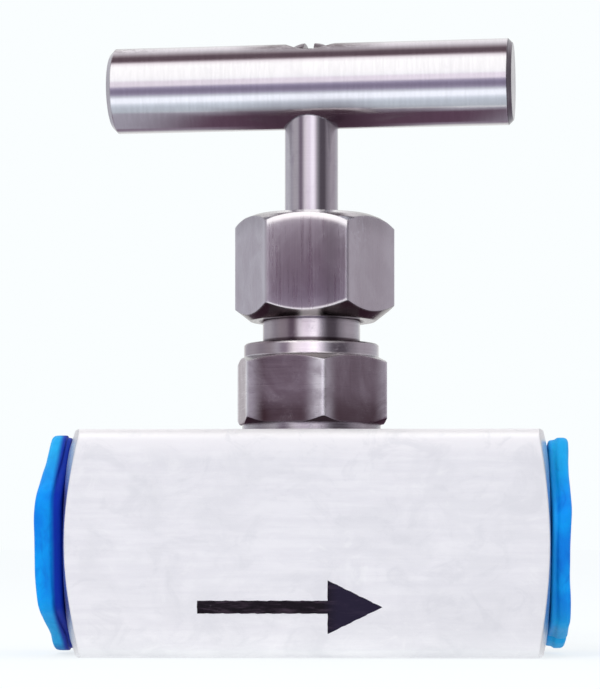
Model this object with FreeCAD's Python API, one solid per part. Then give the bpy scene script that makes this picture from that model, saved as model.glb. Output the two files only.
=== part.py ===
import FreeCAD, Part
import math
import os

# Hand-operated needle valve: square bar-stock body with two in-line female
# threaded ports, screwed hexagon bonnet, packed rising stem turned by a plain
# T-bar, and moulded plastic plugs in both ports.
# Millimetres.  +Z up the stem, +X in the direction of flow, front towards -Y.
# Heights are measured from the port axis; at the end every piece is lifted so
# that the origin is the centre of the flat base, under the stem axis.

Vector = FreeCAD.Vector
ORIGIN = Vector(0, 0, 0)
X_AXIS, Y_AXIS, Z_AXIS = Vector(1, 0, 0), Vector(0, 1, 0), Vector(0, 0, 1)
OVERCUT = 1.0                # how far a cutter runs past the face it opens

# ------------------------------------------------ dimensions shared by pieces
BODY_HALF = 16.5             # half the square across flats
BODY_LEFT, BODY_RIGHT = 35.45, 34.75     # stem axis to each end face
SEAT_R, SEAT_Z = 2.5, 1.0    # lower edge of the conical seat; orifice radius
SEAT_SLOPE = math.tan(math.radians(30.0))     # radius gained per unit height
GASKET_POCKET_Z = 15.3
SHANK_R = 8.0                # bonnet thread
HEX_AF = 21.0                # bonnet and gland nut, across flats
HEX_EDGE_R = 0.7             # rounding of their six vertical edges
HEX_ENVELOPE_R = 12.3        # just outside the hexagon corners
STEM_R, STEM_THREAD_R = 4.0, 5.0
STEM_FOOT_Z = 4.5
RING_Z0, RING_Z1 = 6.9, 7.9  # retaining ring
RING_PLAY = 0.05             # clearance above and below it in both grooves
TIP_SHANK_TOP = 9.0
BOX_FLOOR = 27.0             # packing box
FOLLOWER_Z0 = 39.0
NUT_ROOF_Z = 45.2            # inner roof of the gland nut
BAR_YAW_DEG = -6.5
BAR_R, BAR_Z = 6.35, 68.5
SPOT_FACE_Z = BAR_Z + BAR_R - 1.42
SHOULDER_Z = 66.0            # top of the full stem diameter, inside the bar
SPIGOT_R, SPIGOT_AF, SPIGOT_TOP = 3.0, 4.6, 70.45
HEAD_R, HEAD_SEAT_Z = 3.45, 71.7         # handle screw
SCREW_R = 2.0


# -------------------------------------------------------------------- helpers
def turned(profile):
    """Solid of revolution about Z from an open list of (radius, z)."""
    points = [Vector(radius, 0, z) for radius, z in profile]
    points.append(points[0])
    return Part.Face(Part.makePolygon(points)).revolve(ORIGIN, Z_AXIS, 360)


def cylinder(radius, z0, z1):
    return Part.makeCylinder(radius, z1 - z0, Vector(0, 0, z0), Z_AXIS)


def cylinder_x(radius, x0, x1, z):
    return Part.makeCylinder(radius, x1 - x0, Vector(x0, 0, z), X_AXIS)


def edges_along(shape, axis):
    return [edge for edge in shape.Edges
            if abs(abs(edge.tangentAt(edge.FirstParameter).dot(axis)) - 1.0) < 1e-6]


def hex_prism(corner_r, corner_deg, z0, z1):
    """Hexagonal prism with a corner at corner_deg from +X."""
    angles = [math.radians(corner_deg + 60.0 * k) for k in range(7)]
    points = [Vector(corner_r * math.cos(a), corner_r * math.sin(a), z0) for a in angles]
    return Part.Face(Part.makePolygon(points)).extrude(Vector(0, 0, z1 - z0))


def spanner_hex(corner_deg, z0, z1):
    """Hexagon of the bonnet and gland nut, vertical edges rounded."""
    prism = hex_prism(HEX_AF / math.sqrt(3.0), corner_deg, z0, z1)
    return prism.makeFillet(HEX_EDGE_R, edges_along(prism, Z_AXIS))


def double_d(radius, across_flats, z0, z1):
    """Round bar with two flats facing +Y and -Y."""
    box = Part.makeBox(2 * radius + 2, across_flats, z1 - z0,
                       Vector(-radius - 1, -across_flats / 2.0, z0))
    return cylinder(radius, z0, z1).common(box)


def yawed(shape):
    """Copy turned about the stem to the angle of the handle."""
    copy = shape.copy()
    copy.rotate(ORIGIN, Z_AXIS, BAR_YAW_DEG)
    return copy


def one(shape):
    """The only solid of a shape, coplanar faces merged."""
    solids = shape.removeSplitter().Solids
    assert len(solids) == 1, len(solids)
    return solids[0]


# ----------------------------------------------------------------- valve body
BODY_EDGE_R = 1.5            # rounding of the four long edges
END_FLAT_R = 15.8            # flat disc in the middle of each end
END_ENVELOPE_R = 24.0        # beyond the body corners
CONE_LEFT_DEG, CONE_RIGHT_DEG = 18.9, 13.5    # from the end plane
PORT_R = 10.4775             # thread major radius, parallel pipe thread size 1/2
PORT_OUTER_X = 31.75         # stem axis to the outer end of each thread
PORT_INNER_X = PORT_OUTER_X - 15.0
PORT_FLOOR_R, PORT_FLOOR_SMALL_R, PORT_FLOOR_DEPTH = 9.2, 8.4, 1.0
MOUTH_R, MOUTH_CHAMFER = 10.8, 0.6       # plain counterbore
FLOW_R = 3.5
INLET_Z, INLET_END_X = -5.6, 2.6
OUTLET_Z = 6.4
CHAMBER_R, CHAMBER_FLOOR = 5.6, 2.75
BONNET_BORE_R, BONNET_BORE_Z = SHANK_R + 0.06, 7.0
GASKET_POCKET_R = 9.8


def turned_ends():
    """Envelope along X: flat discs with shallow cones out to the corners."""
    reach = END_ENVELOPE_R - END_FLAT_R
    drop_left = reach * math.tan(math.radians(CONE_LEFT_DEG))
    drop_right = reach * math.tan(math.radians(CONE_RIGHT_DEG))
    envelope = turned([
        (0, -BODY_LEFT), (END_FLAT_R, -BODY_LEFT),
        (END_ENVELOPE_R, -BODY_LEFT + drop_left), (END_ENVELOPE_R, BODY_RIGHT - drop_right),
        (END_FLAT_R, BODY_RIGHT), (0, BODY_RIGHT)])
    envelope.rotate(ORIGIN, Y_AXIS, 90)
    return envelope


def port_cutter(body_end, turn_deg):
    """Mouth chamfer, plain mouth, threaded stretch and tapered floor."""
    chamfer_r = MOUTH_R + MOUTH_CHAMFER
    floor = PORT_INNER_X - PORT_FLOOR_DEPTH
    cutter = turned([
        (0, body_end + OVERCUT), (chamfer_r + OVERCUT, body_end + OVERCUT),
        (chamfer_r, body_end), (MOUTH_R, body_end - MOUTH_CHAMFER),
        (MOUTH_R, PORT_OUTER_X), (PORT_R, PORT_OUTER_X), (PORT_R, PORT_INNER_X),
        (PORT_FLOOR_R, PORT_INNER_X), (PORT_FLOOR_SMALL_R, floor), (0, floor)])
    cutter.rotate(ORIGIN, Y_AXIS, turn_deg)
    return cutter


def make_body():
    body = Part.makeBox(BODY_LEFT + BODY_RIGHT, 2 * BODY_HALF, 2 * BODY_HALF,
                        Vector(-BODY_LEFT, -BODY_HALF, -BODY_HALF))
    body = body.makeFillet(BODY_EDGE_R, edges_along(body, X_AXIS))
    body = body.common(turned_ends())
    for body_end, turn_deg in ((BODY_RIGHT, 90), (BODY_LEFT, -90)):
        body = body.cut(port_cutter(body_end, turn_deg))
    # inlet way below the seat, outlet way out of the chamber above it
    body = body.cut(cylinder_x(FLOW_R, -PORT_INNER_X, INLET_END_X, INLET_Z))
    body = body.cut(cylinder_x(FLOW_R, 0.0, PORT_INNER_X, OUTLET_Z))
    # orifice, conical seat, chamber, bonnet thread and gasket pocket
    seat_top_r = SEAT_R + (CHAMBER_FLOOR - SEAT_Z) * SEAT_SLOPE
    top = BODY_HALF + OVERCUT
    return one(body.cut(turned([
        (0, INLET_Z), (SEAT_R, INLET_Z), (SEAT_R, SEAT_Z),
        (seat_top_r, CHAMBER_FLOOR), (CHAMBER_R, CHAMBER_FLOOR),
        (CHAMBER_R, BONNET_BORE_Z), (BONNET_BORE_R, BONNET_BORE_Z),
        (BONNET_BORE_R, GASKET_POCKET_Z), (GASKET_POCKET_R, GASKET_POCKET_Z),
        (GASKET_POCKET_R, top), (0, top)])))


# --------------------------------------------------------- bonnet and gasket
GASKET_IN_R, GASKET_OUT_R = 8.2, 9.65
SHANK_Z, SHANK_CHAMFER = 7.6, 0.8
RELIEF_R = SHANK_R - 0.7     # above the bonnet thread
RELIEF_Z0, RELIEF_Z1 = 14.6, 15.0        # taper down to it
COLLAR_R = 10.4              # on the body's top face
HEX_Z0, HEX_Z1 = 17.8, 27.85
HEX_LOW_R, HEX_LOW_RISE = 10.9, 1.0      # lower chamfer of the hexagon
HEX_CORE_R = 9.0             # turned core inside the hexagon
TOP_COLLAR_R, TOP_COLLAR_Z, TOP_COLLAR_CHAMFER = 10.1, 29.8, 0.25
HEX_TOP_SLOPE = 0.52         # drop per unit radius outside the top collar
BONNET_HEX_DEG = -80.2
NECK_R, NECK_TOP, NECK_CHAMFER = 7.3, 43.0, 0.7
BOX_R, BOX_CHAMFER = 6.0, 0.4            # packing box
STEM_NUT_R, STEM_NUT_CHAMFER = STEM_THREAD_R + 0.06, 0.5
GUIDE_R = STEM_R + 0.06
BACKSEAT_Z = 24.8            # lower edge of the 45 degree back seat


def make_gasket():
    return one(turned([(GASKET_IN_R, GASKET_POCKET_Z), (GASKET_OUT_R, GASKET_POCKET_Z),
                       (GASKET_OUT_R, BODY_HALF), (GASKET_IN_R, BODY_HALF)]))


def make_bonnet():
    hexagon = spanner_hex(BONNET_HEX_DEG, HEX_Z0, HEX_Z1)
    corner_drop = (HEX_ENVELOPE_R - TOP_COLLAR_R) * HEX_TOP_SLOPE
    hexagon = hexagon.common(turned([
        (0, HEX_Z0), (HEX_LOW_R, HEX_Z0), (HEX_ENVELOPE_R, HEX_Z0 + HEX_LOW_RISE),
        (HEX_ENVELOPE_R, HEX_Z1 - corner_drop), (TOP_COLLAR_R, HEX_Z1), (0, HEX_Z1)]))
    # collars and core overlap the hexagon by a little so that the two fuse
    core = turned([
        (0, SHANK_Z), (SHANK_R - SHANK_CHAMFER, SHANK_Z),
        (SHANK_R, SHANK_Z + SHANK_CHAMFER), (SHANK_R, RELIEF_Z0),
        (RELIEF_R, RELIEF_Z1), (RELIEF_R, BODY_HALF), (COLLAR_R, BODY_HALF),
        (COLLAR_R, HEX_Z0 + 0.2), (HEX_CORE_R, HEX_Z0 + 0.4),
        (HEX_CORE_R, HEX_Z1 - 0.4), (TOP_COLLAR_R, HEX_Z1 - 0.2),
        (TOP_COLLAR_R, TOP_COLLAR_Z - TOP_COLLAR_CHAMFER),
        (TOP_COLLAR_R - TOP_COLLAR_CHAMFER, TOP_COLLAR_Z), (NECK_R, TOP_COLLAR_Z),
        (NECK_R, NECK_TOP - NECK_CHAMFER), (NECK_R - NECK_CHAMFER, NECK_TOP),
        (0, NECK_TOP)])
    # stem thread, back seat, stem guide and packing box
    inlet_r = STEM_NUT_R + STEM_NUT_CHAMFER
    box_mouth_r = BOX_R + BOX_CHAMFER
    bore = turned([
        (0, SHANK_Z - OVERCUT), (inlet_r, SHANK_Z - OVERCUT), (inlet_r, SHANK_Z),
        (STEM_NUT_R, SHANK_Z + STEM_NUT_CHAMFER), (STEM_NUT_R, BACKSEAT_Z),
        (GUIDE_R, BACKSEAT_Z + STEM_NUT_R - GUIDE_R), (GUIDE_R, BOX_FLOOR),
        (BOX_R, BOX_FLOOR), (BOX_R, NECK_TOP - BOX_CHAMFER), (box_mouth_r, NECK_TOP),
        (box_mouth_r, NECK_TOP + OVERCUT), (0, NECK_TOP + OVERCUT)])
    return one(hexagon.fuse(core).cut(bore))


# ------------------------------------------------------ needle and its swivel
TIP_NOSE = ((0, -4.6), (0.55, -4.45), (0.8, -4.1))     # radius, z
TIP_SHANK_R, TIP_SHANK_CHAMFER = 2.5, 0.4
TIP_HEAD_R = 3.85
TIP_HEAD_TOP = STEM_FOOT_Z - 0.1
TIP_GROOVE_R = 2.05
SEAT_GAP = 0.02              # vertical gap from seat to sealing cone
CONE_BELOW_SEAT = 0.30       # how far the sealing cone reaches under the seat
NOSE_TAPER = (0.12, 0.5)     # radius lost and height just below that cone
BALL_R, BALL_CLEARANCE = 1.2, 0.005
RING_IN_R, RING_OUT_R = 2.12, 3.02
RING_SLOT_W = 1.6


def make_needle_tip():
    """Sealing cone parallel to the seat, slender nose below, shank above."""
    cone_z0 = SEAT_Z - CONE_BELOW_SEAT
    cone_r = SEAT_R + (cone_z0 - SEAT_Z - SEAT_GAP) * SEAT_SLOPE
    cone_z1 = SEAT_Z + SEAT_GAP + (TIP_HEAD_R - SEAT_R) / SEAT_SLOPE
    return one(turned([
        *TIP_NOSE, (cone_r - NOSE_TAPER[0], cone_z0 - NOSE_TAPER[1]),
        (cone_r, cone_z0), (TIP_HEAD_R, cone_z1), (TIP_HEAD_R, TIP_HEAD_TOP),
        (TIP_SHANK_R, TIP_HEAD_TOP), (TIP_SHANK_R, RING_Z0 - RING_PLAY),
        (TIP_GROOVE_R, RING_Z0 - RING_PLAY), (TIP_GROOVE_R, RING_Z1 + RING_PLAY),
        (TIP_SHANK_R, RING_Z1 + RING_PLAY), (TIP_SHANK_R, TIP_SHANK_TOP - TIP_SHANK_CHAMFER),
        (TIP_SHANK_R - TIP_SHANK_CHAMFER, TIP_SHANK_TOP), (0, TIP_SHANK_TOP)]))


def make_thrust_ball():
    centre = Vector(0, 0, TIP_SHANK_TOP + BALL_R + BALL_CLEARANCE)
    return Part.makeSphere(BALL_R, centre).Solids[0]


def make_retaining_ring():
    """Split ring, open towards +X."""
    ring = turned([(RING_IN_R, RING_Z0), (RING_OUT_R, RING_Z0),
                   (RING_OUT_R, RING_Z1), (RING_IN_R, RING_Z1)])
    slot = Part.makeBox(4.0, RING_SLOT_W, 3.0,
                        Vector(0.5, -RING_SLOT_W / 2, RING_Z0 - OVERCUT))
    return one(ring.cut(slot))


# ----------------------------------------------------------------------- stem
FOOT_R = 4.3
STEM_CHAMFER = 0.3           # foot, socket mouth, shoulder and tapped-hole mouth
THREAD_Z0, THREAD_Z1, THREAD_CHAMFER = 9.8, 20.0, 0.6
SOCKET_R, SOCKET_TOP = 2.6, 9.3
SOCKET_GROOVE_R = 3.1
BALL_POCKET_R, BALL_POCKET_TOP, BALL_POCKET_TAPER = 1.3, 11.42, 0.6
TAP_R = SCREW_R + 0.04
TAP_FLOOR_R, TAP_Z0, TAP_FLOOR_RISE = SCREW_R - 0.2, 61.2, 0.3


def make_stem():
    outer = turned([
        (0, STEM_FOOT_Z), (FOOT_R - STEM_CHAMFER, STEM_FOOT_Z),
        (FOOT_R, STEM_FOOT_Z + STEM_CHAMFER), (FOOT_R, THREAD_Z0 - 0.2),
        (STEM_THREAD_R - THREAD_CHAMFER, THREAD_Z0),
        (STEM_THREAD_R, THREAD_Z0 + THREAD_CHAMFER), (STEM_THREAD_R, THREAD_Z1),
        (STEM_R, THREAD_Z1 + STEM_THREAD_R - STEM_R), (STEM_R, SHOULDER_Z - STEM_CHAMFER),
        (STEM_R - STEM_CHAMFER, SHOULDER_Z), (0, SHOULDER_Z)])
    spigot = double_d(SPIGOT_R, SPIGOT_AF, SHOULDER_Z - 1, SPIGOT_TOP)
    stem = outer.fuse(yawed(spigot))
    # socket for the swivelling tip, retaining-ring groove and ball pocket
    mouth_r = SOCKET_R + STEM_CHAMFER
    stem = stem.cut(turned([
        (0, STEM_FOOT_Z - OVERCUT), (mouth_r, STEM_FOOT_Z - OVERCUT),
        (mouth_r, STEM_FOOT_Z), (SOCKET_R, STEM_FOOT_Z + STEM_CHAMFER),
        (SOCKET_R, RING_Z0 - RING_PLAY), (SOCKET_GROOVE_R, RING_Z0 - RING_PLAY),
        (SOCKET_GROOVE_R, RING_Z1 + RING_PLAY), (SOCKET_R, RING_Z1 + RING_PLAY),
        (SOCKET_R, SOCKET_TOP), (BALL_POCKET_R, SOCKET_TOP + BALL_POCKET_TAPER),
        (BALL_POCKET_R, BALL_POCKET_TOP), (0, BALL_POCKET_TOP)]))
    # tapped hole for the handle screw
    mouth_r = TAP_R + STEM_CHAMFER
    return one(stem.cut(turned([
        (0, TAP_Z0), (TAP_FLOOR_R, TAP_Z0), (TAP_R, TAP_Z0 + TAP_FLOOR_RISE),
        (TAP_R, SPIGOT_TOP - STEM_CHAMFER), (mouth_r, SPIGOT_TOP),
        (mouth_r, SPIGOT_TOP + OVERCUT), (0, SPIGOT_TOP + OVERCUT)])))


# -------------------------------------------------------------- gland packing
WASHER_IN_R, WASHER_OUT_R = 4.15, 5.9
WASHER_TOP = BOX_FLOOR + 1.0
PACK_IN_R, PACK_OUT_R = 4.03, 5.96
PACK_PITCH = 1.6
PACK_RINGS = 4
VEE_HEIGHT = 0.96


def make_packing_washer():
    return one(turned([(WASHER_IN_R, BOX_FLOOR), (WASHER_OUT_R, BOX_FLOOR),
                       (WASHER_OUT_R, WASHER_TOP), (WASHER_IN_R, WASHER_TOP)]))


def vee_ring(z0, z1, grooved=True, ridged=True):
    """Packing ring with an optional vee groove below and vee ridge above."""
    middle_r = (PACK_IN_R + PACK_OUT_R) / 2.0
    profile = [(PACK_IN_R, z0)]
    if grooved:
        profile.append((middle_r, z0 + VEE_HEIGHT))
    profile += [(PACK_OUT_R, z0), (PACK_OUT_R, z1)]
    if ridged:
        profile.append((middle_r, z1 + VEE_HEIGHT))
    profile.append((PACK_IN_R, z1))
    return one(turned(profile))


def make_packing():
    """Adapters and rings stacked between the washer and the follower."""
    levels = [WASHER_TOP + PACK_PITCH * k for k in range(PACK_RINGS + 2)]
    stack = {"packing_bottom_adapter": vee_ring(levels[0], levels[1], grooved=False)}
    for k in range(1, PACK_RINGS + 1):
        stack[f"packing_ring_{k}"] = vee_ring(levels[k], levels[k + 1])
    stack["packing_top_adapter"] = vee_ring(levels[-1], FOLLOWER_Z0, ridged=False)
    return stack


# -------------------------------------------------------------- gland and nut
FOLLOWER_IN_R, FOLLOWER_OUT_R = 4.1, 5.92
FLANGE_R, FLANGE_Z, FLANGE_CHAMFER = 6.9, 43.6, 0.3
NUT_Z0, NUT_Z1 = 33.3, 48.9
# domed upper crown: radius, z
NUT_CROWN = ((HEX_ENVELOPE_R, 46.9), (11.4, 47.75), (10.4, 48.42), (9.2, NUT_Z1))
NUT_ENVELOPE_R = 13.2
NUT_LOW_RIM_R, NUT_LOW_SLOPE = 9.4, 0.78      # lower crown
NUT_BORE_R, NUT_BORE_CHAMFER = 7.35, 0.6
NUT_HOLE_R, NUT_HOLE_CHAMFER = 4.35, 0.5
NUT_HEX_DEG = -65.0
NUT_HEX_OFF = 0.45           # the hexagon sits off the thread axis along X
NUT_CROWN_OFF = 0.20         # and the turned crowns by less


def make_follower():
    return one(turned([
        (FOLLOWER_IN_R, FOLLOWER_Z0), (FOLLOWER_OUT_R, FOLLOWER_Z0),
        (FOLLOWER_OUT_R, FLANGE_Z), (FLANGE_R, FLANGE_Z),
        (FLANGE_R, NUT_ROOF_Z - FLANGE_CHAMFER), (FLANGE_R - FLANGE_CHAMFER, NUT_ROOF_Z),
        (FOLLOWER_IN_R, NUT_ROOF_Z)]))


def make_gland_nut():
    hexagon = spanner_hex(NUT_HEX_DEG, NUT_Z0, NUT_Z1)
    hexagon.translate(Vector(NUT_HEX_OFF, 0, 0))
    low_crown = [(radius, NUT_Z0 + (radius - NUT_LOW_RIM_R) * NUT_LOW_SLOPE)
                 for radius in (NUT_LOW_RIM_R, HEX_ENVELOPE_R, NUT_ENVELOPE_R)]
    crowns = turned([(0, NUT_Z0), *low_crown, (NUT_ENVELOPE_R, NUT_CROWN[0][1] - 1.0),
                     *NUT_CROWN, (0, NUT_Z1)])
    crowns.translate(Vector(NUT_CROWN_OFF, 0, 0))
    mouth_r = NUT_BORE_R + NUT_BORE_CHAMFER
    hole_top_r = NUT_HOLE_R + NUT_HOLE_CHAMFER
    bore = turned([
        (0, NUT_Z0 - OVERCUT), (mouth_r, NUT_Z0 - OVERCUT), (mouth_r, NUT_Z0),
        (NUT_BORE_R, NUT_Z0 + NUT_BORE_CHAMFER), (NUT_BORE_R, NUT_ROOF_Z),
        (NUT_HOLE_R, NUT_ROOF_Z), (NUT_HOLE_R, NUT_Z1 - NUT_HOLE_CHAMFER),
        (hole_top_r, NUT_Z1), (hole_top_r, NUT_Z1 + OVERCUT), (0, NUT_Z1 + OVERCUT)])
    return one(hexagon.common(crowns).cut(bore))


# --------------------------------------------------------------------- handle
BAR_HALF_LEN = 60.5 / 2
BAR_CHAMFER = 0.70
SPOT_R = 4.05
SCREW_END, SCREW_CHAMFER = 62.6, 0.5
# screw head outline: radius, height above the spot face
HEAD_TOP = 1.40
HEAD_OUTLINE = ((HEAD_R, 0.05), (HEAD_R - 0.2, 0.15), (3.05, 0.52), (2.6, 0.98),
                (2.0, 1.25), (1.0, 1.36), (0, HEAD_TOP))
SLOT_W, SLOT_DEPTH, SLOT_LEN = 1.5, 1.2, 10


def make_handle():
    end_r = BAR_R - BAR_CHAMFER
    bar = turned([
        (0, -BAR_HALF_LEN), (end_r, -BAR_HALF_LEN), (BAR_R, -BAR_HALF_LEN + BAR_CHAMFER),
        (BAR_R, BAR_HALF_LEN - BAR_CHAMFER), (end_r, BAR_HALF_LEN), (0, BAR_HALF_LEN)])
    bar.rotate(ORIGIN, Y_AXIS, 90)
    bar.translate(Vector(0, 0, BAR_Z))
    above = BAR_Z + BAR_R + OVERCUT
    # stem socket, double-D key hole, screw hole, head counterbore, spot face
    for cutter in (
            cylinder(STEM_R + 0.04, BAR_Z - BAR_R - OVERCUT, SHOULDER_Z + 0.02),
            double_d(SPIGOT_R + 0.05, SPIGOT_AF + 0.08, SHOULDER_Z - 0.5, SPIGOT_TOP + 0.1),
            cylinder(SCREW_R + 0.2, SPIGOT_TOP - 0.5, HEAD_SEAT_Z + 0.5),
            cylinder(HEAD_R + 0.1, HEAD_SEAT_Z, above),
            cylinder(SPOT_R, SPOT_FACE_Z, above)):
        bar = bar.cut(cutter)
    return one(yawed(bar))


def make_handle_screw():
    screw = turned([
        (0, SCREW_END), (SCREW_R - SCREW_CHAMFER, SCREW_END),
        (SCREW_R, SCREW_END + SCREW_CHAMFER), (SCREW_R, HEAD_SEAT_Z), (HEAD_R, HEAD_SEAT_Z),
        *((radius, SPOT_FACE_Z + height) for radius, height in HEAD_OUTLINE)])
    slot_z = SPOT_FACE_Z + HEAD_TOP - SLOT_DEPTH
    slot = Part.makeBox(SLOT_W, SLOT_LEN, SLOT_DEPTH + OVERCUT,
                        Vector(-SLOT_W / 2, -SLOT_LEN / 2, slot_z))
    return one(yawed(screw.cut(slot)))


# ----------------------------------------------------------------- port plugs
CAP_HEX_R, CAP_ROUND_R = 16.9, 16.45     # corner radius before and after rounding
COLLAR_STEP, COLLAR_CLEAR = 0.35, 0.22   # step in from the rim, gap to the body
CAP_OVERLAP = 0.4            # how far collar and plug run into the rim
RECESS_IN_R, RECESS_DEPTH = 9.2, 0.8     # recess in the outer face of the rim
RECESS_FLOOR_R, RECESS_TOP_R, RECESS_OVERCUT = 12.5, 12.9, 0.5
PLUG_R, PLUG_NECK_R = 10.62, 10.3
PLUG_REACH = 1.6             # how far the plug goes into the mouth
HOLLOW_R = PLUG_R - 1.1 - 0.35           # wall thickness and tip allowance
HOLLOW_FLOOR, HOLLOW_CHAMFER, HOLLOW_DRAFT = 1.0, 0.5, 0.05


def hex_disc(step, corner_deg, z0, z1):
    """Hexagonal disc, corners rounded to a circle, drawn in by step all round."""
    prism = hex_prism(CAP_HEX_R - step / math.cos(math.pi / 6), corner_deg, z0, z1)
    return prism.common(cylinder(CAP_ROUND_R - step, z0, z1))


def make_cap(gap, rim, corner_deg):
    """Plug with a hexagonal head, plug end towards -Z, inner face of the rim at z = 0."""
    cap = hex_disc(0.0, corner_deg, 0.0, rim)
    recess_z0, recess_z1 = rim - RECESS_DEPTH, rim + RECESS_OVERCUT
    cap = cap.cut(turned([(RECESS_IN_R, recess_z0), (RECESS_FLOOR_R, recess_z0),
                          (RECESS_TOP_R, recess_z1), (RECESS_IN_R, recess_z1)]))
    cap = cap.fuse(hex_disc(COLLAR_STEP, corner_deg, COLLAR_CLEAR - gap, CAP_OVERLAP))
    tip = -gap - PLUG_REACH
    cap = cap.fuse(turned([
        (0, tip), (PLUG_R - 0.45, tip), (PLUG_R, tip + 0.6), (PLUG_R, -gap - 0.2),
        (PLUG_NECK_R, -gap + 0.05), (PLUG_NECK_R, CAP_OVERLAP), (0, CAP_OVERLAP)]))
    floor = tip + HOLLOW_FLOOR
    return one(cap.cut(turned([
        (0, floor), (HOLLOW_R - HOLLOW_CHAMFER, floor), (HOLLOW_R, floor + HOLLOW_CHAMFER),
        (HOLLOW_R + HOLLOW_DRAFT, rim + OVERCUT), (0, rim + OVERCUT)])))


def make_port_cap(side, body_end, gap, rim, corner):
    """Cap on side -1 (left) or +1; gap is from body end to rim, rim its thickness.

    One corner lies corner degrees up from the front.
    """
    cap = make_cap(gap, rim, corner - 90.0 if side < 0 else -90.0 - corner)
    cap.rotate(ORIGIN, Y_AXIS, 90 * side)
    cap.translate(Vector(side * (body_end + gap), 0, 0))
    return cap


# ------------------------------------------------------------------ write out
def main():
    os.makedirs("parts", exist_ok=True)
    pieces = {
        "valve_body": make_body(),
        "bonnet_gasket": make_gasket(),
        "bonnet": make_bonnet(),
        "needle_tip": make_needle_tip(),
        "thrust_ball": make_thrust_ball(),
        "tip_retaining_ring": make_retaining_ring(),
        "stem": make_stem(),
        "packing_washer": make_packing_washer(),
        **make_packing(),
        "gland_follower": make_follower(),
        "gland_nut": make_gland_nut(),
        "handle_bar": make_handle(),
        "handle_screw": make_handle_screw(),
        "left_port_cap": make_port_cap(-1, BODY_LEFT, gap=1.75, rim=2.55, corner=22.0),
        "right_port_cap": make_port_cap(1, BODY_RIGHT, gap=1.1, rim=1.9, corner=15.0),
    }
    for name, shape in pieces.items():
        shape.translate(Vector(0, 0, BODY_HALF))
        assert shape.isValid(), name
        shape.exportStep(f"parts/{name}.step")


main()
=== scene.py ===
import bpy
import bmesh
import math
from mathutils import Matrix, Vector

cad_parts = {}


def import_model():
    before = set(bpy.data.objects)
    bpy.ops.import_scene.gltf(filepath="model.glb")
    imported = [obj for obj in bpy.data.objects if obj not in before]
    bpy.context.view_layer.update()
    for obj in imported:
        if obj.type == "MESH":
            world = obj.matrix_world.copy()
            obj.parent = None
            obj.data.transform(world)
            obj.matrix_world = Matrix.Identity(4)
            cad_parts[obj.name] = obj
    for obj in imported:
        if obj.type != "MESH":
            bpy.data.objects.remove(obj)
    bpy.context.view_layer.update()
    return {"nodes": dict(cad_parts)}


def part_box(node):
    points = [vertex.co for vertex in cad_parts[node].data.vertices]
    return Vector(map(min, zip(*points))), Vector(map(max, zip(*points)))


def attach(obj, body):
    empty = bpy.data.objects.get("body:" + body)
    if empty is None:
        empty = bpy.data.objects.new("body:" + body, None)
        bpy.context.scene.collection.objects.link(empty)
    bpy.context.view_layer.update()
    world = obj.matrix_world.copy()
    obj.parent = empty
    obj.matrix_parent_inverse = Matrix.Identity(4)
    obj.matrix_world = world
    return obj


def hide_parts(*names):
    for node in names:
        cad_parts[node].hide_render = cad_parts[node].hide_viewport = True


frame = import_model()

NODES = frame["nodes"]
MM = 0.001
AXIS_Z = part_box("valve_body")[1].z / 2.0          # height of the port axis
BODY_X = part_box("valve_body")[1].x                 # right end face of the body
BODY_L = -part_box("valve_body")[0].x                # left end face, from the stem axis
BODY_Y = -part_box("valve_body")[0].y                # half width of the body
YAW = math.radians(-6.5)                           # rest angle of the bar


def lin(c):
    """sRGB 0..255 triple to linear."""
    out = []
    for v in c:
        v = v / 255.0
        out.append(v / 12.92 if v <= 0.04045 else ((v + 0.055) / 1.055) ** 2.4)
    return out


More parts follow.
